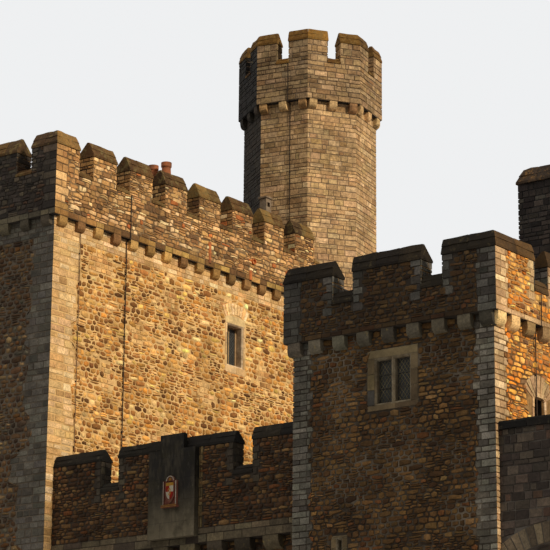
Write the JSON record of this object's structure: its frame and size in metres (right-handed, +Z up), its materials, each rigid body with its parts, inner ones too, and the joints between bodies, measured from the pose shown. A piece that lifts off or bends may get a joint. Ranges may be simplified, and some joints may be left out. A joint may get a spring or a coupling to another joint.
{
  "type": "castle keep",
  "caption": "Stone castle keep: battlemented great tower with octagonal stair turret, joined by a curtain wall to a square gate tower and an arched gate wall.",
  "frame": {"origin": "the great tower's front right corner at ground level", "axes": "+X right along the fronts, +Y towards the back, +Z up"},
  "size_m": [29.93, 17.9554, 26.66],
  "materials": {
    "keep_rubble": "rough",
    "oak_floor": "matt",
    "lead_roof": "matt",
    "corbel_stone": "rough",
    "keep_parapet_stone": "rough",
    "coping_stone": "rough",
    "dressed_stone": "rough",
    "leaded_glass": "gloss",
    "stack_stone": "rough",
    "fired_clay": "matt",
    "flue_render": "matt",
    "turret_ashlar": "rough",
    "turret_coping_stone": "rough",
    "curtain_rubble": "rough",
    "slate_coping": "rough",
    "panel_ashlar": "rough",
    "painted_panel": "matt",
    "gate_tower_rubble": "rough",
    "gate_ashlar": "rough",
    "dark_ashlar": "rough",
    "conductor_tape": "matt"
  },
  "bodies": {
    "root": {"keep_front_wall": "keep_rubble", "keep_right_wall": "keep_rubble", "keep_rear_wall": "keep_rubble", "keep_left_wall": "keep_rubble", "keep_floors": "oak_floor", "keep_roof": "lead_roof", "keep_corbels": "corbel_stone", "keep_parapet": "keep_parapet_stone", "keep_copings": "coping_stone", "keep_window_stones": "dressed_stone", "keep_window_glass": "leaded_glass", "chimney_stack": "stack_stone", "chimney_pots": "fired_clay", "roof_flue": "flue_render", "turret_shaft": "turret_ashlar", "turret_corbels": "turret_ashlar", "turret_parapet": "turret_ashlar", "turret_copings": "turret_coping_stone", "turret_roof": "lead_roof", "curtain_wall": "curtain_rubble", "curtain_corbels": "corbel_stone", "curtain_parapet": "curtain_rubble", "curtain_copings": "slate_coping", "panel_block": "panel_ashlar", "shield_panel": "painted_panel", "gate_tower_front_wall": "gate_tower_rubble", "gate_tower_right_wall": "gate_tower_rubble", "gate_tower_rear_wall": "gate_tower_rubble", "gate_tower_left_wall": "gate_tower_rubble", "gate_tower_floors": "oak_floor", "gate_tower_roof": "lead_roof", "gate_tower_corbels": "corbel_stone", "gate_tower_parapet": "gate_tower_rubble", "gate_tower_copings": "coping_stone", "gate_tower_window_stones": "dressed_stone", "gate_tower_window_glass": "leaded_glass", "slit_window_stones": "dressed_stone", "gate_wall": "gate_ashlar", "gate_wall_coping": "slate_coping", "rear_turret_walls": "dark_ashlar", "rear_turret_coping": "slate_coping", "rear_turret_roof": "lead_roof", "drain_spouts": "fired_clay", "lightning_conductors": "conductor_tape"}
  },
  "joints": []
}
